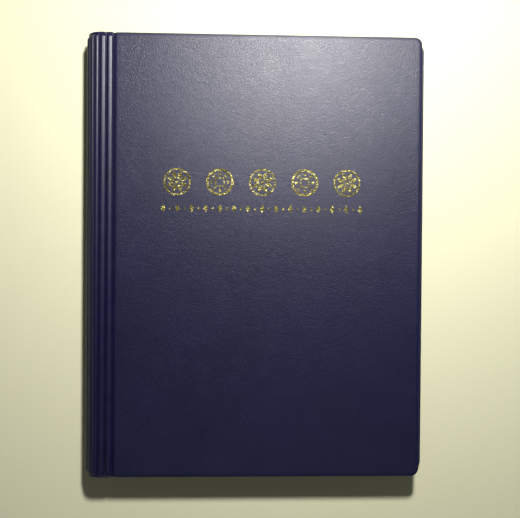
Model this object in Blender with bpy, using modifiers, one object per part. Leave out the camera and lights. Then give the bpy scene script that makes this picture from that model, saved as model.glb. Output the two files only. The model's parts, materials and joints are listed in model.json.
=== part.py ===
"""Coin album: ten pocket leaves in a ribbed, padded PVC cover, lying closed on its back.

Metres, +Z up. +X runs from the spine to the fore-edge and +Y to the head of the album.
The origin is the middle of the footprint, on the surface that the album lies on.
Every hinge runs along Y. A piece hangs from an empty that stands on its hinge's axis.
"""

import math

import bmesh
import bpy
from mathutils import Vector

MM = 0.001

# Covers: a skin folded round a board, closed on the inside by a liner. The clearances are
# from each groove to its cover: the rolled spine pushes the back cover a little further out.
COVER_WIDTH = 142.0 * MM
COVER_HEIGHT = 204.5 * MM
FORE_CORNER = 3.5 * MM
SPINE_CORNER = 1.0 * MM
SKIN = 0.45 * MM
SKIN_EDGE = 0.6 * MM
BOARD = 1.0 * MM
LINER = 0.4 * MM
LAYER_GAP = 0.15 * MM
COVER_THICKNESS = SKIN + BOARD + LINER + 2 * LAYER_GAP
RIM_RADIUS = 0.3 * MM
FRONT_CLEARANCE = 0.7 * MM
BACK_CLEARANCE = 1.5 * MM

# Spine: ribs side by side on a line that folds between them, like a roll-top.
FOLD_RADIUS = 6.0 * MM
RIB_TURN = math.radians(30)
ARC_RIBS = 6
FRONT_FLAT_RIBS = 2
BACK_FLAT_RIBS = 3
RIB_RISE = 0.95 * MM
RIB_ROOT = 0.35 * MM
RIB_GAP = 0.3 * MM
RIB_SIDES = 8
RIB_END_BEVEL = 0.2 * MM

# Leaves: a backing film and a pocket film, welded round each pocket.
LEAVES = 10
LEAVES_TURNED_LEFT = 5
LEAF_WIDTH = 130.0 * MM
LEAF_HEIGHT = 190.0 * MM
LEAF_CORNER = 2.0 * MM
LEAF_PITCH = 0.85 * MM
FILM = 0.18 * MM
POCKET_GAP = 0.22 * MM
LEAF_ABOVE_LINER = 0.2 * MM
POCKET_COLUMNS = 3
POCKET_ROWS = 4
LEAF_MARGIN = 3.0 * MM
WELD_WIDTH = 3.0 * MM
MOUTH_HEIGHT = 1.2 * MM
MOUTH_BELOW_WELD = 2.5 * MM
MOUTH_INSET = 2.0 * MM

# Binding: the leaves' inner margins, welded into a block that a tongue ties to the spine.
BLOCK_NEAR = -7.4 * MM
BLOCK_FAR = -2.9 * MM
BLOCK_THICKNESS = 4.1 * MM
BINDING_HEIGHT = 184.0 * MM
TONGUE_THICKNESS = 0.7 * MM
TONGUE_RIB = 6
LEAF_HINGE = 3.5 * MM
LEAF_START = 8.2 * MM
ROOT_THICKNESS = 0.24 * MM
PIECE_GAP = 0.3 * MM

# Worked out from the above. Heights are from the surface, and x from the front groove.
RIB_PITCH = 2 * FOLD_RADIUS * math.sin(RIB_TURN / 2)
RIB_HALF_WIDTH = (RIB_PITCH - RIB_GAP) / 2
ARC_HEIGHT = RIB_RISE + FOLD_RADIUS
ARC_X = -FRONT_FLAT_RIBS * RIB_PITCH
BACK_GROOVE_X = ARC_X + BACK_FLAT_RIBS * RIB_PITCH
FRONT_FOLD_HEIGHT = ARC_HEIGHT + FOLD_RADIUS
BACK_FOLD_HEIGHT = ARC_HEIGHT - FOLD_RADIUS
FRONT_COVER_TOP = FRONT_FOLD_HEIGHT + SKIN - LAYER_GAP
FRONT_COVER_X = FRONT_CLEARANCE
BACK_COVER_X = BACK_GROOVE_X + BACK_CLEARANCE
FORE_EDGE_X = BACK_COVER_X + COVER_WIDTH

NAVY = (0.014, 0.015, 0.050)
NAVY_LINER = (0.022, 0.024, 0.065)
GREYBOARD = (0.35, 0.33, 0.29)
CLEAR_FILM = (0.80, 0.84, 0.86)
CREAM_BLOCK = (0.62, 0.64, 0.64)


def clear_scene():
    for obj in list(bpy.data.objects):
        bpy.data.objects.remove(obj, do_unlink=True)


def new_collection(name):
    collection = bpy.data.collections.new(name)
    bpy.context.scene.collection.children.link(collection)
    return collection


def principled(name, colour, roughness, alpha=1.0):
    """A Principled material of one colour."""
    material = bpy.data.materials.new(name)
    material.use_nodes = True
    shader = material.node_tree.nodes["Principled BSDF"]
    shader.inputs["Base Color"].default_value = (*colour, 1.0)
    shader.inputs["Roughness"].default_value = roughness
    shader.inputs["Metallic"].default_value = 0.0
    shader.inputs["Alpha"].default_value = alpha
    material.diffuse_color = (*colour, alpha)
    return material


def arc_point(centre, radius, angle):
    """A point on a circle, with the angle from +X."""
    return (centre[0] + radius * math.cos(angle), centre[1] + radius * math.sin(angle))


def rounded_rectangle(low, high, fore, spine, segments=6):
    """A rectangle's outline, anticlockwise, with an arc of its own radius at either side."""
    outline = []
    corners = (
        (high[0] - fore, high[1] - fore, fore),
        (low[0] + spine, high[1] - spine, spine),
        (low[0] + spine, low[1] + spine, spine),
        (high[0] - fore, low[1] + fore, fore),
    )
    for quarter, (x, y, radius) in enumerate(corners):
        for step in range(segments + 1):
            angle = math.pi / 2 * (quarter + step / segments)
            outline.append(arc_point((x, y), radius, angle))
    return outline


def rectangle(low, high):
    return [low, (high[0], low[1]), high, (low[0], high[1])]


def extrusion(name, outlines, thickness, collection):
    """A flat outline, with any holes after it, made as thick as asked about its own plane."""
    curve = bpy.data.curves.new(name, "CURVE")
    curve.dimensions = "2D"
    curve.fill_mode = "BOTH"
    curve.extrude = thickness / 2
    for outline in outlines:
        spline = curve.splines.new("POLY")
        spline.points.add(len(outline) - 1)
        for point, (x, y) in zip(spline.points, outline):
            point.co = (x, y, 0.0, 1.0)
        spline.use_cyclic_u = True
    obj = bpy.data.objects.new(name, curve)
    collection.objects.link(obj)
    return obj


def as_mesh(obj):
    """The curve object again as a mesh object, its caps joined to its sides."""
    name = obj.name
    collection = obj.users_collection[0]
    bpy.context.view_layer.update()
    evaluated = obj.evaluated_get(bpy.context.evaluated_depsgraph_get())
    mesh = bpy.data.meshes.new_from_object(evaluated)
    matrix = obj.matrix_world.copy()
    bpy.data.objects.remove(obj, do_unlink=True)
    shape = bmesh.new()
    shape.from_mesh(mesh)
    bmesh.ops.remove_doubles(shape, verts=shape.verts, dist=0.00001)
    bmesh.ops.recalc_face_normals(shape, faces=shape.faces)
    shape.to_mesh(mesh)
    shape.free()
    mesh.name = name
    solid = bpy.data.objects.new(name, mesh)
    solid.matrix_world = matrix
    collection.objects.link(solid)
    return solid


def flat_piece(name, outlines, low, high, collection):
    """An outline in plan, between two heights."""
    obj = extrusion(name, outlines, high - low, collection)
    obj.location = (0.0, 0.0, (low + high) / 2)
    return as_mesh(obj)


def long_piece(name, section, length, collection):
    """A section in x and z, drawn out along Y about the album's middle."""
    obj = extrusion(name, [section], length, collection)
    obj.rotation_euler = (math.pi / 2, 0.0, 0.0)
    return as_mesh(obj)


def bevel(obj, width, segments):
    """Rounds the edges that turn sharply, and leaves the small steps of an arc."""
    modifier = obj.modifiers.new("Rounded edges", "BEVEL")
    modifier.width = width
    modifier.segments = segments
    modifier.limit_method = "ANGLE"
    modifier.angle_limit = math.radians(50)


def cut(obj, cutter):
    modifier = obj.modifiers.new("Cut by " + cutter.name, "BOOLEAN")
    modifier.operation = "DIFFERENCE"
    modifier.object = cutter
    modifier.solver = "EXACT"
    cutter.hide_render = True
    cutter.display_type = "WIRE"


def hinge_axis(name, x, height, parent, collection):
    """An empty on a hinge's axis. Its place is given from the front groove."""
    axis = bpy.data.objects.new(name, None)
    axis.empty_display_size = 0.01
    axis["at"] = (x, 0.0, height)
    axis.location = Vector(axis["at"]) - (Vector(parent["at"]) if parent else Vector())
    axis.parent = parent
    collection.objects.link(axis)
    return axis


def hang(obj, axis, material=None):
    """Puts a piece, built from the front groove, under its hinge's empty."""
    # The piece's own origin goes onto the axis too, so its mesh takes up the difference.
    place = obj.matrix_world.copy()
    place.translation -= Vector(axis["at"])
    obj.data.transform(place)
    obj.matrix_world.identity()
    obj.parent = axis
    if material:
        obj.data.materials.append(material)
    obj.data.shade_smooth()
    obj.data.set_sharp_from_angle(angle=math.radians(35))
    return obj


def fold_point(ribs_round):
    """The point on the spine's fold line after so many ribs of the arc, from the front."""
    angle = math.pi / 2 + RIB_TURN * ribs_round
    return arc_point((ARC_X, ARC_HEIGHT), FOLD_RADIUS, angle)


def rib_section(start, end):
    """A D-shaped rib between two points of the fold line, bulging to the left of the way."""
    start, end = Vector(start), Vector(end)
    middle = (start + end) / 2
    along = (end - start).normalized()
    outward = Vector((-along.y, along.x))
    section = [
        middle - along * RIB_HALF_WIDTH - outward * RIB_ROOT,
        middle + along * RIB_HALF_WIDTH - outward * RIB_ROOT,
    ]
    for step in range(RIB_SIDES + 1):
        angle = math.pi * step / RIB_SIDES
        across = along * RIB_HALF_WIDTH * math.cos(angle)
        section.append(middle + across + outward * RIB_RISE * math.sin(angle))
    return [tuple(point) for point in section]


def fold_line():
    """The ends of every rib along the spine, from the front groove round to the back one."""
    points = [(-RIB_PITCH * n, FRONT_FOLD_HEIGHT) for n in range(FRONT_FLAT_RIBS)]
    points += [fold_point(n) for n in range(ARC_RIBS + 1)]
    for n in range(1, BACK_FLAT_RIBS + 1):
        points.append((ARC_X + RIB_PITCH * n, BACK_FOLD_HEIGHT))
    return points


def make_cover(side, left, outer, inwards, axis, materials, album, cutters):
    """A skin tray, a board and a liner. `inwards` is -1 under the front skin, +1 over the back."""
    half = COVER_HEIGHT / 2
    low, high = (left, -half), (left + COVER_WIDTH, half)

    def layer(name, inset, near, far, collection):
        ends = sorted((outer + inwards * near, outer + inwards * far))
        outline = rounded_rectangle(
            (low[0] + inset, low[1] + inset),
            (high[0] - inset, high[1] - inset),
            FORE_CORNER - inset,
            SPINE_CORNER - inset,
        )
        return flat_piece(name, [outline], *ends, collection)

    skin = layer(side + "_cover_skin", 0.0, 0.0, COVER_THICKNESS, album)
    hollow = layer(side + "_skin_hollow", SKIN_EDGE, SKIN, 2 * COVER_THICKNESS, cutters)
    bevel(skin, RIM_RADIUS, 2)
    hang(skin, axis, materials["skin"])
    hang(hollow, axis)
    cut(skin, hollow)
    inset = SKIN_EDGE + LAYER_GAP
    board_near = SKIN + LAYER_GAP
    board = layer(side + "_board", inset, board_near, board_near + BOARD, album)
    hang(board, axis, materials["board"])
    liner_near = board_near + BOARD + LAYER_GAP
    liner = layer(side + "_liner", inset, liner_near, liner_near + LINER, album)
    hang(liner, axis, materials["liner"])


def pocket_mouths():
    """The slit across the top of each pocket, as outlines on a leaf centred in y."""
    left = LEAF_START + LEAF_MARGIN
    top = LEAF_HEIGHT / 2 - LEAF_MARGIN
    across = (LEAF_WIDTH - 2 * LEAF_MARGIN + WELD_WIDTH) / POCKET_COLUMNS
    down = (LEAF_HEIGHT - 2 * LEAF_MARGIN + WELD_WIDTH) / POCKET_ROWS
    mouths = []
    for column in range(POCKET_COLUMNS):
        for row in range(POCKET_ROWS):
            low_x = left + column * across + MOUTH_INSET
            high_x = left + (column + 1) * across - WELD_WIDTH - MOUTH_INSET
            high_y = top - row * down - MOUTH_BELOW_WELD
            mouths.append(rectangle((low_x, high_y - MOUTH_HEIGHT), (high_x, high_y)))
    return mouths


def leaf_bottom(leaf):
    """The underside of a leaf. Leaf 1 lies next to the front cover."""
    return COVER_THICKNESS + LEAF_ABOVE_LINER + (LEAVES - leaf) * LEAF_PITCH


def make_leaf(leaf, spine_axis, materials, album):
    """A leaf's two films, and the strip of bare film that flexes between leaf and binding."""
    thickness = 2 * FILM + POCKET_GAP
    # All leaves turn about one line, halfway between the two that the open album parts.
    hinge_height = leaf_bottom(LEAVES_TURNED_LEFT) - (LEAF_PITCH - thickness) / 2
    name = f"leaf_{leaf:02d}"
    axis = hinge_axis(name + "_hinge", LEAF_HINGE, hinge_height, spine_axis, album)
    bottom = leaf_bottom(leaf)
    half = LEAF_HEIGHT / 2
    far_corner = (LEAF_START + LEAF_WIDTH, half)
    outline = rounded_rectangle(
        (LEAF_START, -half), far_corner, LEAF_CORNER, LEAF_CORNER, segments=3
    )
    backing = flat_piece(name + "_backing", [outline], bottom, bottom + FILM, album)
    hang(backing, axis, materials["film"])
    pocket_low = bottom + FILM + POCKET_GAP
    pockets = flat_piece(
        name + "_pockets",
        [outline, *pocket_mouths()],
        pocket_low,
        pocket_low + FILM,
        album,
    )
    hang(pockets, axis, materials["film"])
    share = (LEAVES - leaf + 0.5) / LEAVES
    block_height = ARC_HEIGHT + (share - 0.5) * BLOCK_THICKNESS
    leaf_height = bottom + thickness / 2
    near, far = BLOCK_FAR + PIECE_GAP, LEAF_START - PIECE_GAP
    section = [
        (near, block_height - ROOT_THICKNESS / 2),
        (far, leaf_height - ROOT_THICKNESS / 2),
        (far, leaf_height + ROOT_THICKNESS / 2),
        (near, block_height + ROOT_THICKNESS / 2),
    ]
    root = long_piece(name + "_root", section, BINDING_HEIGHT, album)
    hang(root, spine_axis, materials["film"])


def make_binding(axis, rib_face, materials, album):
    """The welded margins of the leaves, and the tongue from them to a rib of the spine."""
    low = ARC_HEIGHT - BLOCK_THICKNESS / 2
    section = rectangle((BLOCK_NEAR, low), (BLOCK_FAR, low + BLOCK_THICKNESS))
    block = long_piece("binding_block", section, BINDING_HEIGHT, album)
    hang(block, axis, materials["block"])
    low = rib_face[1] - TONGUE_THICKNESS / 2
    section = rectangle(
        (rib_face[0] + PIECE_GAP, low),
        (BLOCK_NEAR - PIECE_GAP, low + TONGUE_THICKNESS),
    )
    tongue = long_piece("binding_tongue", section, BINDING_HEIGHT, album)
    hang(tongue, axis, materials["skin"])


def make_album():
    clear_scene()
    album = new_collection("coin_album")
    cutters = new_collection("cutters")
    materials = {
        "skin": principled("navy_vinyl", NAVY, 0.42),
        "liner": principled("liner_vinyl", NAVY_LINER, 0.55),
        "board": principled("greyboard", GREYBOARD, 0.9),
        "film": principled("clear_vinyl", CLEAR_FILM, 0.15, alpha=0.35),
        "block": principled("welded_margins", CREAM_BLOCK, 0.35),
    }

    footprint = hinge_axis("footprint", 0.0, 0.0, None, album)
    points = fold_line()
    ribs = len(points) - 1
    # Folds are numbered by the rib on their front side. The back's ribs don't turn.
    axes = {ribs: footprint}
    for rib in range(ribs - 1, 0, -1):
        if rib >= FRONT_FLAT_RIBS + ARC_RIBS + 1:
            axes[rib] = footprint
        elif rib >= FRONT_FLAT_RIBS:
            fold = hinge_axis(f"spine_fold_{rib:02d}", *points[rib], axes[rib + 1], album)
            axes[rib] = fold
        else:
            axes[rib] = axes[rib + 1]
    for rib in range(1, ribs + 1):
        section = rib_section(points[rib], points[rib - 1])
        obj = long_piece(f"spine_rib_{rib:02d}", section, COVER_HEIGHT, album)
        hang(obj, axes[rib], materials["skin"])
        bevel(obj, RIB_END_BEVEL, 1)

    front_axis = hinge_axis("front_groove", *points[0], axes[1], album)
    shared = (materials, album, cutters)
    make_cover("front", FRONT_COVER_X, FRONT_COVER_TOP, -1, front_axis, *shared)
    make_cover("back", BACK_COVER_X, 0.0, 1, footprint, *shared)

    tongue_ends = (Vector(points[TONGUE_RIB - 1]) + Vector(points[TONGUE_RIB])) / 2
    rib_face = (tongue_ends.x + RIB_ROOT, tongue_ends.y)
    make_binding(axes[TONGUE_RIB], rib_face, materials, album)
    for leaf in range(1, LEAVES + 1):
        make_leaf(leaf, axes[TONGUE_RIB], materials, album)

    # The widest rib tips by half a turn, so its half-ellipse is measured along X at that tilt.
    tilt = RIB_TURN / 2
    bulge = math.hypot(RIB_HALF_WIDTH * math.sin(tilt), RIB_RISE * math.cos(tilt))
    spine_x = ARC_X - FOLD_RADIUS * math.cos(tilt) ** 2 - bulge
    footprint.location.x = -(spine_x + FORE_EDGE_X) / 2


make_album()
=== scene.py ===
"""Looks of the coin album: grained vinyl covers with a pressed rim, a ribbed padded spine,
gold foil ornaments and clear pocket leaves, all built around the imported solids.

Metres, +Z up, in the solids' frame: +X runs to the fore-edge and +Y to the head.
"""

import json
import math

import bmesh
import bpy
from mathutils import Matrix, Vector, noise

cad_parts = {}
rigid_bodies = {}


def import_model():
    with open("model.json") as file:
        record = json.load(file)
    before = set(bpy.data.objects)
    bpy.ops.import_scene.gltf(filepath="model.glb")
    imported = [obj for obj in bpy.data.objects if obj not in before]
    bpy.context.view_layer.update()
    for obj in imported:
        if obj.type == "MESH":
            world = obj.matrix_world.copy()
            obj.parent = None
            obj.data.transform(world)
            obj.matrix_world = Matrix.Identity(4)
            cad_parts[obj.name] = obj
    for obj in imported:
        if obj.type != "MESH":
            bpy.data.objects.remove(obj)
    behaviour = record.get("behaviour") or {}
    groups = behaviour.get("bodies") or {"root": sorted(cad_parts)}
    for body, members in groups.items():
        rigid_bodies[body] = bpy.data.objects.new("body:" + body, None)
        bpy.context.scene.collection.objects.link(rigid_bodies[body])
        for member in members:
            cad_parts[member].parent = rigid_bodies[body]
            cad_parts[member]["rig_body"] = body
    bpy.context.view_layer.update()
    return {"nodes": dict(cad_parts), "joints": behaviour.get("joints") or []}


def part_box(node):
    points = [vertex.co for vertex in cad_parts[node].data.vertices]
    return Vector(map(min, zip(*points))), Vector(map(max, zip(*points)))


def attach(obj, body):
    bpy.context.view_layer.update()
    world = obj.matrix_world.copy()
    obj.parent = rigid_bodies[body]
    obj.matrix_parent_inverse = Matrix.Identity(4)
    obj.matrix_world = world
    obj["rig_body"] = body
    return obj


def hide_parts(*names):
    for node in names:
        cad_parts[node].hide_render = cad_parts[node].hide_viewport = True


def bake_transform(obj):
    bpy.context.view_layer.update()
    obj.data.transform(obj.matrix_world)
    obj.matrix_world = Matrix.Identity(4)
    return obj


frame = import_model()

MM = 0.001
LEAVES = 10

# Covers. A profile's points are in from the edge, and in from the outer face, from the inner
# side for the wall, and from the open face for the liner.
PANEL_MIDDLE = 4.0 * MM
PANEL_STEP = 5.0 * MM
PANEL_EASE = 1.5 * MM
PANEL_WAVE = 0.035 * MM
WAVE_LENGTH = 55.0 * MM
WAVE_SEED = {"front": 1.3, "back": 7.9}
FORE_CORNER = 3.5 * MM
SPINE_CORNER = 1.0 * MM
LEAST_CORNER = 0.02 * MM
CORNER_STEPS = 6
OUTLINE_SPACING = 8 * MM
RIM_PROFILE_MM = ((2.3, 0.0), (1.6, 0.01), (1.1, 0.03), (0.8, 0.07), (0.62, 0.11), (0.5, 0.135),
                  (0.3, 0.15), (0.14, 0.22), (0.03, 0.45), (0.0, 0.85))
RIM_WIDTH = RIM_PROFILE_MM[0][0] * MM
SPINE_RIM = 0.75
WALL_PROFILE_MM = ((0.0, 0.45), (0.06, 0.16), (0.16, 0.04), (0.28, 0.0), (0.6, 0.0), (0.7, 0.05),
                   (0.73, 0.2))
SKIN_FLOOR = 0.45 * MM
LINER_PROFILE_MM = ((9.0, 0.03), (4.2, 0.0), (2.6, 0.02), (2.3, 0.14), (1.5, 0.14), (1.2, 0.02),
                    (0.5, 0.0), (0.12, 0.08), (0.0, 0.2))
LINER_FORE_CORNER = FORE_CORNER - 0.75 * MM
LINER_SPINE_CORNER = 0.3 * MM

# Spine ribs. Those between the first fold and the last roll up, and the rest lie flat.
RIBS = 11
FIRST_FOLD, DEEPEST_FOLD, LAST_FOLD = 2, 5, 8
RIB_STATIONS = 7 * MM
RIB_ROOT_INSET = 0.1 * MM
WELD_LAND = 0.16 * MM
WELD_GAP = 0.01 * MM
RIB_RISE = 0.93 * MM
RIB_ROOT = 0.3 * MM
RIB_HEM = 0.95 * MM
RIB_TAPER = 1.5 * MM
HEM_RISE = 0.07 * MM
# The hem's lip, as points in from the rib's end and up from its welds.
HEM_LIP_MM = ((0.0, 0.04), (0.08, 0.2), (0.18, 0.27), (0.4, 0.27), (0.58, 0.17), (0.76, 0.07))
ROUNDED_END = 0.3 * MM
ROUNDED_POWER = 2.5
RIB_STEPS = 20
TAPER_SHARES = (0.06, 0.16, 0.3, 0.48, 0.68, 0.86, 1.0)
TAPER_POWER = 0.8
RIB_UNEVEN = 0.05
RIB_WAVE_LENGTH = 18 * MM
RIB_SEED = 3.7
# How far a crest is off the rib's middle towards the front groove, as a share of half the
# rib's width, and the share of the full height that the ribs at the roll's shoulders have.
RIB_CREST = {1: -0.2, 2: -0.2, 4: -0.4, 8: 0.4, 10: 0.2, 11: 0.2}
RIB_SHARE = {4: 0.65, 8: 0.65}
ROUND_POWERS = (2.1, 0.62)
GENTLE_FALL = 0.33
GENTLE_POWER = 1.25
GENTLE_END_POWERS = (16, 0.8)

# Grooves. The dip's points are a share of the groove's width, and millimetres down.
GROOVE_DIP = ((0.0, 0.0), (0.14, 0.3), (0.32, 0.6), (0.5, 0.7), (0.68, 0.6), (0.86, 0.35),
              (1.0, 0.1))
GROOVE_THICKNESS = 0.35 * MM
GROOVE_LAP = 0.12 * MM
GROOVE_EDGE = 0.1 * MM
GROOVE_ENDS = (0.25 * MM, 0.6 * MM)
GROOVE_STATIONS = 12 * MM

# Leaves.
COLUMNS, ROWS = 3, 4
MARGIN = 3.0 * MM
WELD = 3.0 * MM
MOUTH_HEIGHT = 1.2 * MM
MOUTH_BELOW_WELD = 2.5 * MM
MOUTH_INSET = 2.0 * MM
MOUTH_BEND = 1.5 * MM
FILM = 0.16 * MM
FILM_CLEAR = 0.04 * MM
WELDED_GAP = 0.012 * MM
LEAF_CORNER = 2.0 * MM
LEAF_CHAMFER = 0.6 * MM
WELD_SLOPE = 0.7 * MM
BACKING_WAVE, BACKING_WAVE_LENGTH, BACKING_SEED = 0.04 * MM, 30 * MM, 2.1
POCKET_WAVE, POCKET_WAVE_LENGTH, POCKET_SEED = 0.03 * MM, 16 * MM, 5.3

# Leaf roots and the block that binds them. A notch's points are a share of a layer, and
# millimetres in.
ROOT_IN_BLOCK = 0.4 * MM
ROOT_IN_LEAF = 0.25 * MM
ROOT_PARTS = 24
STATIONS = 20 * MM
BLOCK_INSET = 0.12 * MM
BLOCK_NOTCH = ((0.0, 0.2), (0.22, 0.0), (0.78, 0.0), (1.0, 0.2))
BLOCK_SEED = (1.7, 0.3)

# Ornament on the front cover: five motifs and a beaded border, about the album's middle.
MOTIFS = 5
MOTIF_PITCH = 19.6 * MM
MOTIF_RADIUS = 6.3 * MM
MOTIF_Y = 34.2 * MM
MOTIF_X = 1.8 * MM
# Shares of a motif's radius: the ring's hole, then each mark's distance and half length, and how
# slim the mark is.
ROSETTE_HOLE, PETALS, PETAL_AT, PETAL_HALF, PETAL_SLIM, BOSS = 0.86, 8, 0.5, 0.27, 0.52, 0.13
COIN_HOLE, SQUARE_HALF, SQUARE_BAND = 0.82, 0.36, 0.11
DOT_AT, DOT_HALF = 0.6, 0.12
DASH_AT, DASH_HALF, DASH_SLIM = 0.63, 0.16, 0.45
RING_STEPS, PETAL_STEPS, MARK_STEPS, BEAD_STEPS = 48, 16, 14, 12
BORDER_Y = 22.0 * MM
BORDER_HALF = 45.5 * MM
BEADS = 29
BEAD_RADIUS = 0.55 * MM
LOZENGE_RADIUS = 1.9 * MM
LOZENGE_SLIM = 0.62
FOIL = 0.02 * MM

# The camera looks down on the album. Its turns are in degrees, its lens and sensor in millimetres.
CAMERA_AT = (-9.25 * MM, 2.25 * MM, 313.4 * MM)
CAMERA_TURN = (-0.66, -1.94, 0.418)
LENS = 45.0
SENSOR = 36.0
CLIP_START = 10 * MM
# The key lamp is a small disk beyond the album's head.
LAMP_AT = (44 * MM, 206 * MM, 270 * MM)
LAMP_SIZE = 45 * MM
LAMP_POWER = 1.86
LAMP_COLOUR = (1.0, 0.99, 0.965)
# Soft boxes light the floor further out, and their narrow spread keeps them off the album.
FLOOR_LAMPS = 6
FLOOR_LAMP_AT = 1.6
FLOOR_LAMP_HEIGHT = 1.3
FLOOR_LAMP_SIZE = 1.7
FLOOR_LAMP_SPREAD = 56
FLOOR_LAMP_POWER = 4.8
FLOOR_HALF = 2.2
FLOOR_BELOW = 0.03 * MM
# The sky's strength at the horizon and overhead, and the heights between which it changes.
SKY_STRENGTH = (0.55, 0.03)
SKY_HEIGHTS = (0.02, 0.35)
SKY_COLOUR = (0.95, 0.97, 0.90)
SHARP_ANGLE = math.radians(42)


# ---------------------------------------------------------------- meshes

def finished(name, shape, material, body=None):
    """The bmesh as an object with a material, riding on a body."""
    bmesh.ops.recalc_face_normals(shape, faces=shape.faces)
    mesh = bpy.data.meshes.new(name)
    shape.to_mesh(mesh)
    shape.free()
    for one in material if isinstance(material, (list, tuple)) else [material]:
        mesh.materials.append(one)
    mesh.shade_smooth()
    mesh.set_sharp_from_angle(angle=SHARP_ANGLE)
    obj = bpy.data.objects.new(name, mesh)
    bpy.context.scene.collection.objects.link(obj)
    if body:
        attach(obj, body)
    return obj


def loft(shape, loops):
    """Faces between successive closed loops of the same number of points, and over the first and
    the last loop. Returns those between, by strip."""
    rings = [[shape.verts.new(point) for point in loop] for loop in loops]
    strips = []
    for near, far in zip(rings, rings[1:]):
        count = len(near)
        strips.append([
            shape.faces.new((near[i], near[(i + 1) % count], far[(i + 1) % count], far[i]))
            for i in range(count)
        ])
    shape.faces.new(rings[0])
    shape.faces.new(list(reversed(rings[-1])))
    return strips


def evenly(start, end, longest):
    """Points from start up to but not including end, no further apart than longest."""
    parts = max(1, math.ceil(abs(end - start) / longest))
    return [start + (end - start) * n / parts for n in range(parts)]


def outline(low, high, inset, fore, spine, spine_rim=1.0):
    """A rounded rectangle drawn in by inset. Every inset gives the same number of points.
    Along the spine the rim is spine_rim times as wide as elsewhere."""
    points = []
    x0, y0, x1, y1 = low[0], low[1], high[0], high[1]
    x0 -= min(inset, RIM_WIDTH) * (1 - spine_rim)
    corners = ((x1, y1, fore, 0), (x0, y1, spine, 1), (x0, y0, spine, 2), (x1, y0, fore, 3))
    for index, (x, y, radius, quarter) in enumerate(corners):
        into_x = -1 if x == x1 else 1
        into_y = -1 if y == y1 else 1
        left_over = max(radius - inset, LEAST_CORNER)
        centre = Vector((x + into_x * (inset + left_over), y + into_y * (inset + left_over)))
        for step in range(CORNER_STEPS + 1):
            angle = math.pi / 2 * (quarter + step / CORNER_STEPS)
            points.append(centre + Vector((math.cos(angle), math.sin(angle))) * left_over)
        # Straight run to the next corner, with the same share of points at every inset.
        nx, ny, n_radius, n_quarter = corners[(index + 1) % 4]
        length = abs(nx - x) + abs(ny - y)
        parts = max(2, round(length / OUTLINE_SPACING))
        n_left = max(n_radius - inset, LEAST_CORNER)
        n_into_x = -1 if nx == x1 else 1
        n_into_y = -1 if ny == y1 else 1
        n_centre = Vector((nx + n_into_x * (inset + n_left), ny + n_into_y * (inset + n_left)))
        n_angle = math.pi / 2 * n_quarter
        following = n_centre + Vector((math.cos(n_angle), math.sin(n_angle))) * n_left
        last = points[-1]
        points += [last.lerp(following, n / parts) for n in range(1, parts)]
    return points


def panel_wave(x, y, seed):
    """The gentle unevenness of a stuffed panel."""
    return PANEL_WAVE * noise.noise(Vector((x / WAVE_LENGTH, y / WAVE_LENGTH, seed)))


# ---------------------------------------------------------------- materials

def new_material(name, colour, roughness, **sockets):
    material = bpy.data.materials.new(name)
    material.use_nodes = True
    shader = material.node_tree.nodes["Principled BSDF"]
    shader.inputs["Base Color"].default_value = (*colour, 1)
    shader.inputs["Roughness"].default_value = roughness
    for socket, value in sockets.items():
        shader.inputs[socket.replace("_", " ")].default_value = value
    return material


def node(material, kind, **settings):
    """A shader node. Settings that aren't attributes of it are values of its sockets."""
    made = material.node_tree.nodes.new("ShaderNode" + kind)
    for key, value in settings.items():
        if hasattr(made, key):
            setattr(made, key, value)
        else:
            made.inputs[key.replace("_", " ")].default_value = value
    return made


def link(material, source, target):
    material.node_tree.links.new(source, target)


def place(material, scale=(1, 1, 1)):
    """The surface point in the piece's own frame, stretched by scale."""
    coordinates = node(material, "TexCoord")
    mapping = node(material, "Mapping", Scale=scale)
    link(material, coordinates.outputs["Object"], mapping.inputs["Vector"])
    return mapping.outputs["Vector"]


def spread(material, value, low, high, to_low, to_high):
    """The value, moved from one range to another."""
    ranged = node(material, "MapRange", From_Min=low, From_Max=high, To_Min=to_low, To_Max=to_high)
    link(material, value, ranged.inputs["Value"])
    return ranged.outputs["Result"]


def combine(material, operation, first, second):
    maths = node(material, "Math", operation=operation)
    for socket, value in zip(maths.inputs, (first, second)):
        if isinstance(value, (int, float)):
            socket.default_value = value
        else:
            link(material, value, socket)
    return maths.outputs["Value"]


def noise_value(material, vector, scale, detail=3.0, roughness=0.55, distortion=0.0):
    texture = node(material, "TexNoise", Scale=scale, Detail=detail, Roughness=roughness,
                   Distortion=distortion)
    link(material, vector, texture.inputs["Vector"])
    return texture.outputs["Fac"]


def tint(material, value, low_colour, high_colour):
    """Base colour between two colours, by a value from 0 to 1."""
    mix = node(material, "Mix", data_type="RGBA")
    link(material, value, mix.inputs["Factor"])
    mix.inputs["A"].default_value = (*low_colour, 1)
    mix.inputs["B"].default_value = (*high_colour, 1)
    shader = material.node_tree.nodes["Principled BSDF"]
    mixed = next(out for out in mix.outputs if out.enabled and out.type == "RGBA")
    link(material, mixed, shader.inputs["Base Color"])


def bump(material, height, distance, after=None):
    raised = node(material, "Bump", Distance=distance)
    link(material, height, raised.inputs["Height"])
    if after:
        link(material, after, raised.inputs["Normal"])
    shader = material.node_tree.nodes["Principled BSDF"]
    link(material, raised.outputs["Normal"], shader.inputs["Normal"])
    return raised.outputs["Normal"]


def vary_roughness(material, value, low, high):
    shader = material.node_tree.nodes["Principled BSDF"]
    link(material, spread(material, value, 0.3, 0.7, low, high), shader.inputs["Roughness"])


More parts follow.
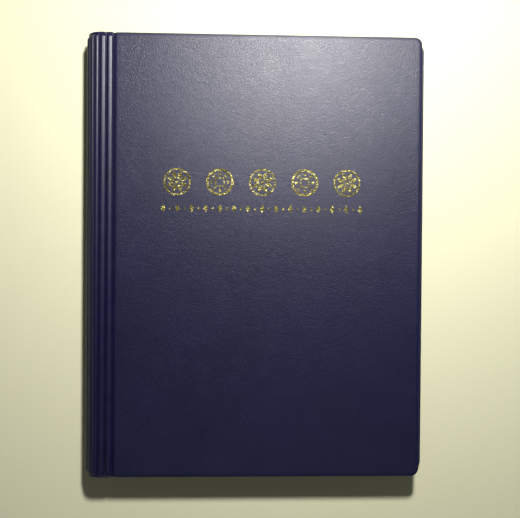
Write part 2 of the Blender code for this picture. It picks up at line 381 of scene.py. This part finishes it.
def leather(name, dark, light, roughness, grain_mm, depth_mm, crease_mm=0.0):
    """Vinyl embossed with a leather grain: cells parted by fine creases, and pores on them."""
    material = new_material(name, dark, roughness, Specular_IOR_Level=0.64)
    vector = place(material)
    warp = node(material, "TexNoise", Scale=260.0, Detail=2.0)
    link(material, vector, warp.inputs["Vector"])
    shift = node(material, "VectorMath", operation="MULTIPLY_ADD")
    link(material, warp.outputs["Color"], shift.inputs[0])
    shift.inputs[1].default_value = (1.2 * MM, 0.8 * MM, 1.2 * MM)
    link(material, vector, shift.inputs[2])
    cells = node(material, "TexVoronoi", feature="DISTANCE_TO_EDGE", Scale=1000 / grain_mm)
    link(material, shift.outputs["Vector"], cells.inputs["Vector"])
    crease = spread(material, cells.outputs["Distance"], 0.0, 0.16, 0.0, 1.0)
    pores = noise_value(material, vector, 4200.0, detail=2.0)
    grain = combine(material, "ADD", crease, combine(material, "MULTIPLY", pores, 0.5))
    folded = bump(material, grain, depth_mm * MM)
    if crease_mm:
        wrinkles = noise_value(material, place(material, (1, 1.7, 1)), 330.0, detail=5.0,
                               roughness=0.62, distortion=0.7)
        bump(material, wrinkles, crease_mm * MM, after=folded)
    broad = noise_value(material, vector, 45.0, detail=3.0)
    tint(material, spread(material, broad, 0.25, 0.75, 0.0, 1.0), dark, light)
    vary_roughness(material, noise_value(material, vector, 90.0), roughness - 0.012,
                   roughness + 0.012)
    return material


def smooth_vinyl(name, dark, light, roughness):
    """Vinyl pressed smooth by a weld or stretched over a rib."""
    material = new_material(name, dark, roughness)
    vector = place(material)
    fine = noise_value(material, vector, 2600.0, detail=3.0)
    cross_marks = noise_value(material, place(material, (0.14, 1, 0.14)), 1100.0, detail=3.0)
    bump(material, combine(material, "ADD", fine, cross_marks), 0.035 * MM)
    broad = noise_value(material, vector, 70.0)
    tint(material, spread(material, broad, 0.3, 0.7, 0.0, 1.0), dark, light)
    vary_roughness(material, noise_value(material, vector, 160.0), roughness - 0.03,
                   roughness + 0.05)
    return material


def greyboard(name):
    material = new_material(name, (0.35, 0.33, 0.29), 0.9)
    vector = place(material, (1, 1, 6))
    fibres = noise_value(material, vector, 900.0, detail=6.0, roughness=0.7)
    tint(material, fibres, (0.25, 0.24, 0.21), (0.45, 0.43, 0.39))
    bump(material, fibres, 0.08 * MM)
    return material


def film(name, colour, roughness, alpha, welded=False):
    """Clear vinyl film: slightly hazy, faintly orange-peeled, and finely lined on the slant where
    welded.
    """
    material = new_material(name, colour, roughness, Alpha=alpha)
    vector = place(material)
    if welded:
        lines = node(material, "TexWave", wave_type="BANDS", bands_direction="DIAGONAL", Scale=620.0)
        link(material, vector, lines.inputs["Vector"])
        bump(material, lines.outputs["Fac"], 0.05 * MM)
    else:
        bump(material, noise_value(material, vector, 210.0, detail=3.0), 0.10 * MM)
    haze = noise_value(material, vector, 60.0, detail=4.0)
    low = tuple(channel * 0.9 for channel in colour)
    tint(material, spread(material, haze, 0.3, 0.7, 0.0, 1.0), low, colour)
    vary_roughness(material, haze, roughness, roughness + 0.08)
    return material


def foil(name):
    """Hot-stamped gold: a dull olive gold, with flecks where the grain's slopes catch the light."""
    material = new_material(name, (0.17, 0.145, 0.035), 0.2, Metallic=0.5)
    vector = place(material)
    grain = noise_value(material, vector, 1300.0, detail=3.0, roughness=0.6)
    folded = bump(material, grain, 0.32 * MM)
    waves = noise_value(material, vector, 380.0, detail=2.0)
    bump(material, waves, 0.6 * MM, after=folded)
    worn = noise_value(material, vector, 520.0, detail=4.0)
    tint(material, spread(material, worn, 0.36, 0.66, 0.0, 1.0), (0.09, 0.08, 0.016),
         (0.24, 0.205, 0.055))
    vary_roughness(material, grain, 0.16, 0.3)
    return material


def floor_paint(name):
    material = new_material(name, (0.78, 0.77, 0.53), 0.85)
    vector = place(material)
    tint(material, noise_value(material, vector, 14.0, detail=4.0), (0.77, 0.76, 0.52),
         (0.80, 0.79, 0.56))
    bump(material, noise_value(material, vector, 900.0, detail=3.0), 0.02 * MM)
    return material


# ---------------------------------------------------------------- pieces

def make_cover(side, materials):
    """The skin of a cover: a waved panel, a pressed rim round it, and a wall that turns under."""
    low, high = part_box(side + "_cover_skin")
    outer, inner = (high.z, low.z) if side == "front" else (low.z, high.z)
    inwards = -1 if side == "front" else 1
    seed = WAVE_SEED[side]
    half_width = (high.x - low.x) / 2

    def loop(inset, height, waved=0.0):
        points = outline(low, high, inset, FORE_CORNER, SPINE_CORNER, spine_rim=SPINE_RIM)
        return [
            (p.x, p.y, height + inwards * waved * abs(panel_wave(p.x, p.y, seed))) for p in points
        ]

    loops = []
    for inset in evenly(half_width - PANEL_MIDDLE, RIM_WIDTH + PANEL_EASE, PANEL_STEP):
        loops.append(loop(inset, outer, waved=1.0))
    loops.append(loop(RIM_WIDTH + PANEL_EASE, outer, waved=0.5))
    first_rim = len(loops)
    for inset, depth in RIM_PROFILE_MM:
        loops.append(loop(inset * MM, outer + inwards * depth * MM))
    for inset, depth in WALL_PROFILE_MM:
        loops.append(loop(inset * MM, inner - inwards * depth * MM))
    loops.append(loop(WALL_PROFILE_MM[-1][0] * MM, outer + inwards * SKIN_FLOOR))

    shape = bmesh.new()
    for index, strip in enumerate(loft(shape, loops)):
        for face in strip:
            face.material_index = 1 if index > first_rim else 0
    cover = finished(side + "_cover_wrap", shape, (materials["leather"], materials["rim"]),
                     side + "_cover")
    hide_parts(side + "_cover_skin")


def make_lining(side, materials):
    """The liner that closes a cover on the inside, with its weld line pressed in."""
    low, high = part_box(side + "_liner")
    face, back = (low.z, high.z) if side == "front" else (high.z, low.z)
    inwards = 1 if side == "front" else -1

    def loop(inset, height):
        points = outline(low, high, inset, LINER_FORE_CORNER, LINER_SPINE_CORNER)
        return [(p.x, p.y, height) for p in points]

    loops = [loop(inset * MM, face + inwards * depth * MM) for inset, depth in LINER_PROFILE_MM]
    loops.append(loop(0.0, back))
    shape = bmesh.new()
    loft(shape, loops)
    lining = finished(side + "_lining", shape, materials["lining"], side + "_cover")
    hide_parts(side + "_liner")


def fold_points():
    """The ends of every rib along the spine's fold line, as (x, z), from front to back."""
    at = {joint["name"]: Vector(joint["pos_m"]) for joint in frame["joints"]}
    points = {0: at["front_cover_hinge"]}
    for fold in range(FIRST_FOLD, LAST_FOLD + 1):
        points[fold] = at[f"spine_fold_{fold:02d}"]
    points[1] = (points[0] + points[2]) / 2
    pitch = points[1].x - points[2].x
    for fold in range(LAST_FOLD + 1, RIBS + 1):
        points[fold] = points[LAST_FOLD] + Vector((pitch * (fold - LAST_FOLD), 0, 0))
    return [Vector((points[n].x, points[n].z)) for n in range(RIBS + 1)]


def rib_profile(width, crest):
    """The outer half of a rib's section: (along, outward share) from one weld to the other.
    A rib whose crest is off its middle falls gently on the long side and steeply on the other."""
    reach = width / 2 - WELD_LAND
    profile = [(WELD_GAP - width / 2, 0.0)]
    for step in range(RIB_STEPS + 1):
        turn = -math.cos(math.pi * step / RIB_STEPS)
        side = (1 - crest) if turn > crest else (1 + crest)
        far = min(1.0, abs(turn - crest) / side)
        share = (1 - far ** ROUND_POWERS[0]) ** ROUND_POWERS[1]
        if side > 1:
            end = (1 - far ** GENTLE_END_POWERS[0]) ** GENTLE_END_POWERS[1]
            share = (1 - GENTLE_FALL * side * far ** GENTLE_POWER) * end
        profile.append((reach * turn, share))
    profile.append((width / 2 - WELD_GAP, 0.0))
    return profile


def end_shortening(point, folds):
    """How much shorter the skin is at a rib far round the roll, so that its ends are rounded."""
    first, deepest = folds[FIRST_FOLD].x, folds[DEEPEST_FOLD].x
    deep = min(1.0, max(0.0, (first - point.x) / (first - deepest)))
    return ROUNDED_END * (1 - math.sqrt(max(0.0, 1 - deep ** ROUNDED_POWER)))


def make_rib(rib, folds, half_height, material):
    """One padded rib, from one weld line to the next, its ends running out into a flat hem."""
    start, end = folds[rib], folds[rib - 1]
    along = (end - start).normalized()
    outward = Vector((-along.y, along.x))
    middle = (start + end) / 2
    width = (end - start).length
    profile = rib_profile(width, RIB_CREST.get(rib, 0.0))
    full_rise = RIB_RISE * RIB_SHARE.get(rib, 1.0)
    places = [half_height - inset * MM for inset, _ in HEM_LIP_MM] + [half_height - RIB_HEM]
    lip = dict(zip(places, [rise * MM for _, rise in HEM_LIP_MM]))
    places += [half_height - RIB_HEM - RIB_TAPER * share for share in TAPER_SHARES]
    inner = places[-1]
    middle_places = evenly(inner, -inner, RIB_STATIONS)[1:]
    stations = places + middle_places + [-y for y in reversed(places)]

    def at(y, offset, raised):
        """The point on the rib at an offset along its width, raised from the line of its welds."""
        point = middle + along * offset + raised
        scale = 1 - end_shortening(point, folds) / half_height
        return (point.x, y * scale, point.y)

    loops = []
    for y in stations:
        from_end = half_height - abs(y)
        eased = min(1.0, max(0.0, (from_end - RIB_HEM) / RIB_TAPER))
        eased = math.sin(eased * math.pi / 2) ** TAPER_POWER if eased > 0 else 0.0
        uneven = 1 + RIB_UNEVEN * noise.noise(Vector((y / RIB_WAVE_LENGTH, rib * RIB_SEED, 0.0)))
        rise = HEM_RISE + (full_rise * uneven - HEM_RISE) * eased
        rise = lip.get(abs(y), rise)
        root = width / 2 - RIB_ROOT_INSET
        loop = [at(y, offset, outward * rise * share) for offset, share in profile]
        loop += [at(y, offset, -outward * RIB_ROOT) for offset in (root, -root)]
        loops.append(loop)
    shape = bmesh.new()
    loft(shape, loops)
    node_name = f"spine_rib_{rib:02d}"
    padded = finished(f"padded_rib_{rib:02d}", shape, material, frame["nodes"][node_name]["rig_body"])
    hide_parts(node_name)


def make_groove(side, folds, half_height, material):
    """The strip of welded sheet between the spine's last weld line and a cover."""
    start = folds[0] if side == "front" else folds[-1]
    down = -1 if side == "front" else 1
    low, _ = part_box(side + "_cover_skin")
    width = low.x + GROOVE_LAP - start.x
    upper = [(start.x + width * share, start.y + down * depth * MM) for share, depth in GROOVE_DIP]
    lower = [
        (x + (GROOVE_EDGE if x == start.x else 0), z + down * GROOVE_THICKNESS) for x, z in upper
    ]
    section = upper + list(reversed(lower))
    ends = [half_height - inset for inset in GROOVE_ENDS]
    middle_places = evenly(ends[-1], -ends[-1], GROOVE_STATIONS)[1:]
    stations = ends + middle_places + [-y for y in reversed(ends)]
    shape = bmesh.new()
    loft(shape, [[(x, y, z) for x, z in section] for y in stations])
    groove = finished(side + "_groove_web", shape, material, side + "_cover")


def grid_lines(low, high, pitch, pocket, extra):
    """Where a leaf's grid is cut in one direction: its edge, each weld's slopes and what is extra."""
    lines = {low, low + LEAF_CORNER, high - LEAF_CORNER, high}
    start = low + MARGIN
    while start + pocket <= high:
        for edge in (start - WELD_SLOPE / 2, start + WELD_SLOPE, start + pocket - WELD_SLOPE,
                     start + pocket + WELD_SLOPE / 2):
            lines.add(edge)
        lines.update(start + offset for offset in extra)
        start += pitch
    return sorted(lines)


def make_leaf(leaf, materials):
    """A leaf's backing film and its pocket film, welded down between the pockets."""
    name = f"leaf_{leaf:02d}"
    low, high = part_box(name + "_backing")
    _, pocket_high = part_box(name + "_pockets")
    across = (high.x - low.x - 2 * MARGIN + WELD) / COLUMNS
    down = (high.y - low.y - 2 * MARGIN + WELD) / ROWS
    pocket_x, pocket_y = across - WELD, down - WELD
    mouth_top = pocket_y - MOUTH_BELOW_WELD
    mouth_low = mouth_top - MOUTH_HEIGHT
    half_x, half_y = pocket_x / 2, pocket_y / 2
    xs = grid_lines(low.x, high.x, across, pocket_x,
                    (MOUTH_INSET, half_x / 2, half_x, half_x * 1.5, pocket_x - MOUTH_INSET))
    ys = grid_lines(low.y, high.y, down, pocket_y,
                    (half_y / 2, half_y, half_y * 1.5, mouth_low - MOUTH_BEND, mouth_low, mouth_top))

    def within(value, first, pitch, size):
        """How far in from a pocket's nearer side the value is, and how far from its low side."""
        from_low = (value - first) % pitch
        return min(from_low, size - from_low), from_low

    def pocket_share(x, y):
        inside_x, _ = within(x, low.x + MARGIN, across, pocket_x)
        inside_y, _ = within(y, low.y + MARGIN, down, pocket_y)
        if not (low.x + MARGIN < x < high.x - MARGIN and low.y + MARGIN < y < high.y - MARGIN):
            return 0.0
        inside = min(inside_x, inside_y)
        return min(1.0, max(0.0, inside / WELD_SLOPE))

    def sheet(piece, height, holes, material):
        shape = bmesh.new()
        grid = {}
        for i, x in enumerate(xs):
            for j, y in enumerate(ys):
                at_corner = i in (0, len(xs) - 1) and j in (0, len(ys) - 1)
                corner = LEAF_CHAMFER if at_corner else 0.0
                px = x + (corner if i == 0 else -corner)
                py = y + (corner if j == 0 else -corner)
                grid[i, j] = shape.verts.new((px, py, height(x, y)))
        for i in range(len(xs) - 1):
            for j in range(len(ys) - 1):
                middle_x, middle_y = (xs[i] + xs[i + 1]) / 2, (ys[j] + ys[j + 1]) / 2
                share = pocket_share(middle_x, middle_y)
                if holes and share > 0:
                    inside_x, _ = within(middle_x, low.x + MARGIN, across, pocket_x)
                    _, above = within(middle_y, low.y + MARGIN, down, pocket_y)
                    if mouth_low < above < mouth_top and inside_x > MOUTH_INSET:
                        continue
                face = shape.faces.new(
                    (grid[i, j], grid[i + 1, j], grid[i + 1, j + 1], grid[i, j + 1])
                )
                face.material_index = 0 if share > 0.5 else 1
        loose = [vert for vert in shape.verts if not vert.link_faces]
        bmesh.ops.delete(shape, geom=loose, context="VERTS")
        obj = finished(f"{name}_{piece}", shape, (material, materials["weld"]), name)
        solid = obj.modifiers.new("Film", "SOLIDIFY")
        solid.thickness = FILM
        solid.offset = 0.0
        solid.use_rim = True
        return obj

    def backing_height(x, y):
        place_on = Vector((x / BACKING_WAVE_LENGTH, y / BACKING_WAVE_LENGTH, leaf * BACKING_SEED))
        return low.z + FILM / 2 + FILM_CLEAR + BACKING_WAVE * noise.noise(place_on)

    def pocket_height(x, y):
        place_on = Vector((x / POCKET_WAVE_LENGTH, y / POCKET_WAVE_LENGTH, leaf * POCKET_SEED))
        top = pocket_high.z - FILM / 2 - FILM_CLEAR + POCKET_WAVE * noise.noise(place_on)
        welded = backing_height(x, y) + FILM + WELDED_GAP
        return welded + (top - welded) * pocket_share(x, y)

    back = sheet("back_film", backing_height, False, materials["backing"])
    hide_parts(name + "_backing")
    front = sheet("pocket_film", pocket_height, True, materials["pocket"])
    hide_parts(name + "_pockets")


def make_root(leaf, material):
    """The bare strip of film between the block and a leaf."""
    name = f"leaf_{leaf:02d}"
    low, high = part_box(name + "_root")
    solid = frame["nodes"][name + "_root"]
    near = [v.co.z for v in solid.data.vertices if v.co.x < (low.x + high.x) / 2]
    far = [v.co.z for v in solid.data.vertices if v.co.x > (low.x + high.x) / 2]
    near_z, far_z = sum(near) / len(near), sum(far) / len(far)
    _, block_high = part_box("binding_block")
    leaf_low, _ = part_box(name + "_backing")
    start_x, end_x = block_high.x - ROOT_IN_BLOCK, leaf_low.x + ROOT_IN_LEAF
    upper, lower = [], []
    for step in range(ROOT_PARTS + 1):
        share = step / ROOT_PARTS
        eased = share * share * (3 - 2 * share)
        x = start_x + (end_x - start_x) * share
        z = near_z + (far_z - near_z) * eased
        upper.append((x, z + FILM / 2))
        lower.append((x, z - FILM / 2))
    section = upper + list(reversed(lower))
    stations = [low.y] + evenly(low.y + 1 * MM, high.y - 1 * MM, STATIONS)[1:] + [high.y]
    shape = bmesh.new()
    loft(shape, [[(x, y, z) for x, z in section] for y in stations])
    root = finished(name + "_root_film", shape, material)
    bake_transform(root)
    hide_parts(name + "_root")


def make_block(material):
    """The leaves' margins, fused into a block that still shows its layers."""
    low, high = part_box("binding_block")
    pitch = (high.z - low.z) / LEAVES
    right, left = [], []
    for layer in range(LEAVES):
        z = low.z + layer * pitch
        inset = BLOCK_INSET * (1 + noise.noise(Vector((layer * BLOCK_SEED[0], BLOCK_SEED[1], 0.0))))
        for share, notch in BLOCK_NOTCH:
            if share == 0.0 and layer:
                continue
            right.append((high.x - inset - notch * MM, z + share * pitch))
            left.append((low.x + inset + notch * MM, z + share * pitch))
    section = right + list(reversed(left))
    stations = [low.y] + evenly(low.y, high.y, STATIONS)[1:] + [high.y]
    shape = bmesh.new()
    loft(shape, [[(x, y, z) for x, z in section] for y in stations])
    block = finished("fused_margins", shape, material, "binding")
    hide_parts("binding_block")


# ---------------------------------------------------------------- ornament

COVER_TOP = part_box("front_cover_skin")[1].z


def on_cover(x, y):
    """The height of the front cover's panel at a place."""
    return COVER_TOP - abs(panel_wave(x, y, WAVE_SEED["front"]))


def circle(centre, radius, steps, squash=1.0, turn=0.0):
    points = []
    for step in range(steps):
        angle = 2 * math.pi * step / steps
        x, y = radius * math.cos(angle), radius * squash * math.sin(angle)
        points.append((centre[0] + x * math.cos(turn) - y * math.sin(turn),
                       centre[1] + x * math.sin(turn) + y * math.cos(turn)))
    return points


def stamp(shape, points):
    """A flat patch of foil with a closed outline."""
    loft(shape, [[(x, y, on_cover(x, y) + height) for x, y in points] for height in (-FOIL, FOIL)])


def stamp_ring(shape, outer, inner):
    """A closed band of foil between two outlines with the same number of points."""
    def at(points, height):
        return [(x, y, on_cover(x, y) + height) for x, y in points]

    loops = [at(outer, -FOIL), at(outer, FOIL), at(inner, FOIL), at(inner, -FOIL)]
    rings = [[shape.verts.new(point) for point in loop] for loop in loops]
    count = len(outer)
    for near, far in zip(rings, rings[1:] + rings[:1]):
        for i in range(count):
            shape.faces.new((near[i], near[(i + 1) % count], far[(i + 1) % count], far[i]))


def rosette(shape, centre):
    """A ring round eight petals and a boss."""
    stamp_ring(shape, circle(centre, MOTIF_RADIUS, RING_STEPS),
               circle(centre, MOTIF_RADIUS * ROSETTE_HOLE, RING_STEPS))
    for petal in range(PETALS):
        turn = 2 * math.pi / PETALS * petal + math.pi / PETALS
        reach = MOTIF_RADIUS * PETAL_AT
        middle = (centre[0] + reach * math.cos(turn), centre[1] + reach * math.sin(turn))
        stamp(shape, circle(middle, MOTIF_RADIUS * PETAL_HALF, PETAL_STEPS, squash=PETAL_SLIM,
                            turn=turn))
    stamp(shape, circle(centre, MOTIF_RADIUS * BOSS, PETAL_STEPS))


def pierced_coin(shape, centre):
    """A round coin with a square hole, a dot on each side of it and a dash at each corner."""
    stamp_ring(shape, circle(centre, MOTIF_RADIUS, RING_STEPS),
               circle(centre, MOTIF_RADIUS * COIN_HOLE, RING_STEPS))
    side, thick = MOTIF_RADIUS * SQUARE_HALF, MOTIF_RADIUS * SQUARE_BAND

    def square(half):
        corners = ((half, half), (-half, half), (-half, -half), (half, -half))
        return [(centre[0] + x, centre[1] + y) for x, y in corners]

    stamp_ring(shape, square(side), square(side - thick))
    for quarter in range(4):
        turn = math.pi / 2 * quarter
        middle = (centre[0] + MOTIF_RADIUS * DOT_AT * math.cos(turn),
                  centre[1] + MOTIF_RADIUS * DOT_AT * math.sin(turn))
        stamp(shape, circle(middle, MOTIF_RADIUS * DOT_HALF, MARK_STEPS))
        turn += math.pi / 4
        middle = (centre[0] + MOTIF_RADIUS * DASH_AT * math.cos(turn),
                  centre[1] + MOTIF_RADIUS * DASH_AT * math.sin(turn))
        stamp(shape, circle(middle, MOTIF_RADIUS * DASH_HALF, MARK_STEPS, squash=DASH_SLIM,
                            turn=turn + math.pi / 2))


def make_ornament(material):
    """The motifs in a row, and under them a border of beads and lozenges by turns."""
    for motif in range(MOTIFS):
        centre = (MOTIF_X + (motif - (MOTIFS - 1) / 2) * MOTIF_PITCH, MOTIF_Y)
        shape = bmesh.new()
        draw = pierced_coin if motif % 2 else rosette
        draw(shape, centre)
        piece = finished(f"foil_motif_{motif + 1}", shape, material, "front_cover")
    shape = bmesh.new()
    for bead in range(BEADS):
        x = MOTIF_X - BORDER_HALF + 2 * BORDER_HALF * bead / (BEADS - 1)
        if bead % 2:
            stamp(shape, circle((x, BORDER_Y), BEAD_RADIUS, BEAD_STEPS))
        else:
            stamp(shape, circle((x, BORDER_Y), LOZENGE_RADIUS, 4, squash=LOZENGE_SLIM,
                                turn=math.pi / 2))
    border = finished("foil_border", shape, material, "front_cover")


# ---------------------------------------------------------------- stage

def make_stage(material):
    shape = bmesh.new()
    bmesh.ops.create_grid(shape, x_segments=8, y_segments=8, size=FLOOR_HALF,
                          matrix=Matrix.Translation((0, 0, -FLOOR_BELOW)))
    floor = finished("floor", shape, material)


def make_lamp(name, shape, size, power, position, target):
    lamp = bpy.data.lights.new(name, "AREA")
    lamp.shape = shape
    lamp.size = size
    lamp.energy = power
    lamp.color = LAMP_COLOUR
    obj = bpy.data.objects.new(name, lamp)
    obj.location = position
    obj.rotation_euler = (target - Vector(position)).to_track_quat("-Z", "Y").to_euler()
    bpy.context.scene.collection.objects.link(obj)
    return lamp


def make_light():
    make_lamp("key_lamp", "DISK", LAMP_SIZE, LAMP_POWER, LAMP_AT, Vector())
    for side in range(FLOOR_LAMPS):
        turn = 2 * math.pi / FLOOR_LAMPS * side
        beneath = FLOOR_LAMP_AT * Vector((math.cos(turn), math.sin(turn), 0))
        above = beneath + Vector((0, 0, FLOOR_LAMP_HEIGHT))
        box = make_lamp(f"floor_lamp_{side + 1}", "SQUARE", FLOOR_LAMP_SIZE, FLOOR_LAMP_POWER, above,
                        beneath)
        box.spread = math.radians(FLOOR_LAMP_SPREAD)


def make_sky():
    """A sky that is bright at the horizon and dim overhead, where the covers would mirror it."""
    world = bpy.data.worlds.new("Studio")
    world.use_nodes = True
    tree = world.node_tree
    background = tree.nodes["Background"]
    coordinates = tree.nodes.new("ShaderNodeTexCoord")
    split = tree.nodes.new("ShaderNodeSeparateXYZ")
    ramp = tree.nodes.new("ShaderNodeMapRange")
    ramp.interpolation_type = "SMOOTHSTEP"
    ramp.inputs["From Min"].default_value, ramp.inputs["From Max"].default_value = SKY_HEIGHTS
    ramp.inputs["To Min"].default_value, ramp.inputs["To Max"].default_value = SKY_STRENGTH
    tree.links.new(coordinates.outputs["Generated"], split.inputs["Vector"])
    tree.links.new(split.outputs["Z"], ramp.inputs["Value"])
    tree.links.new(ramp.outputs["Result"], background.inputs["Strength"])
    background.inputs["Color"].default_value = (*SKY_COLOUR, 1)
    bpy.context.scene.world = world


def make_camera():
    camera = bpy.data.cameras.new("Camera")
    camera.lens = LENS
    camera.sensor_width = SENSOR
    camera.clip_start = CLIP_START
    obj = bpy.data.objects.new("Camera", camera)
    obj.location = CAMERA_AT
    obj.rotation_euler = [math.radians(angle) for angle in CAMERA_TURN]
    bpy.context.scene.collection.objects.link(obj)
    bpy.context.scene.camera = obj


def repaint(node_name, material):
    """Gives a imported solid, which keeps its shape, a better material."""
    slots = frame["nodes"][node_name].data.materials
    slots.clear()
    slots.append(material)


def make_album():
    """Every piece of the album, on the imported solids' places."""
    navy, navy_light = (0.003, 0.003, 0.029), (0.005, 0.005, 0.040)
    materials = {
        "leather": leather("navy_leather_vinyl", navy, navy_light, 0.43, 0.95, 0.03, 0.06),
        "rim": smooth_vinyl("navy_pressed_rim", navy, navy_light, 0.47),
        "rib": smooth_vinyl("navy_rib_vinyl", navy, navy_light, 0.41),
        "lining": leather("navy_lining", (0.020, 0.022, 0.062), (0.028, 0.030, 0.080), 0.5, 0.7,
                          0.02),
        "board": greyboard("greyboard_fibre"),
        "backing": film("backing_vinyl", (0.80, 0.84, 0.87), 0.16, 0.40),
        "pocket": film("pocket_vinyl", (0.86, 0.89, 0.91), 0.08, 0.26),
        "weld": film("welded_vinyl", (0.74, 0.78, 0.80), 0.2, 0.62, welded=True),
        "block": film("fused_vinyl", (0.60, 0.63, 0.64), 0.3, 1.0, welded=True),
        "foil": foil("gold_foil_stamped"),
    }
    folds = fold_points()
    _, rib_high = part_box("spine_rib_06")
    half_height = rib_high.y
    for side in ("front", "back"):
        make_cover(side, materials)
        make_lining(side, materials)
        make_groove(side, folds, half_height, materials["rim"])
        repaint(side + "_board", materials["board"])
    for rib in range(1, len(folds)):
        make_rib(rib, folds, half_height, materials["rib"])
    repaint("binding_tongue", materials["rib"])
    make_block(materials["block"])
    for leaf in range(1, LEAVES + 1):
        make_leaf(leaf, materials)
        make_root(leaf, materials["weld"])
    make_ornament(materials["foil"])


bpy.context.scene.view_settings.view_transform = "Standard"
make_camera()
make_album()
make_stage(floor_paint("pale_floor"))
make_light()
make_sky()
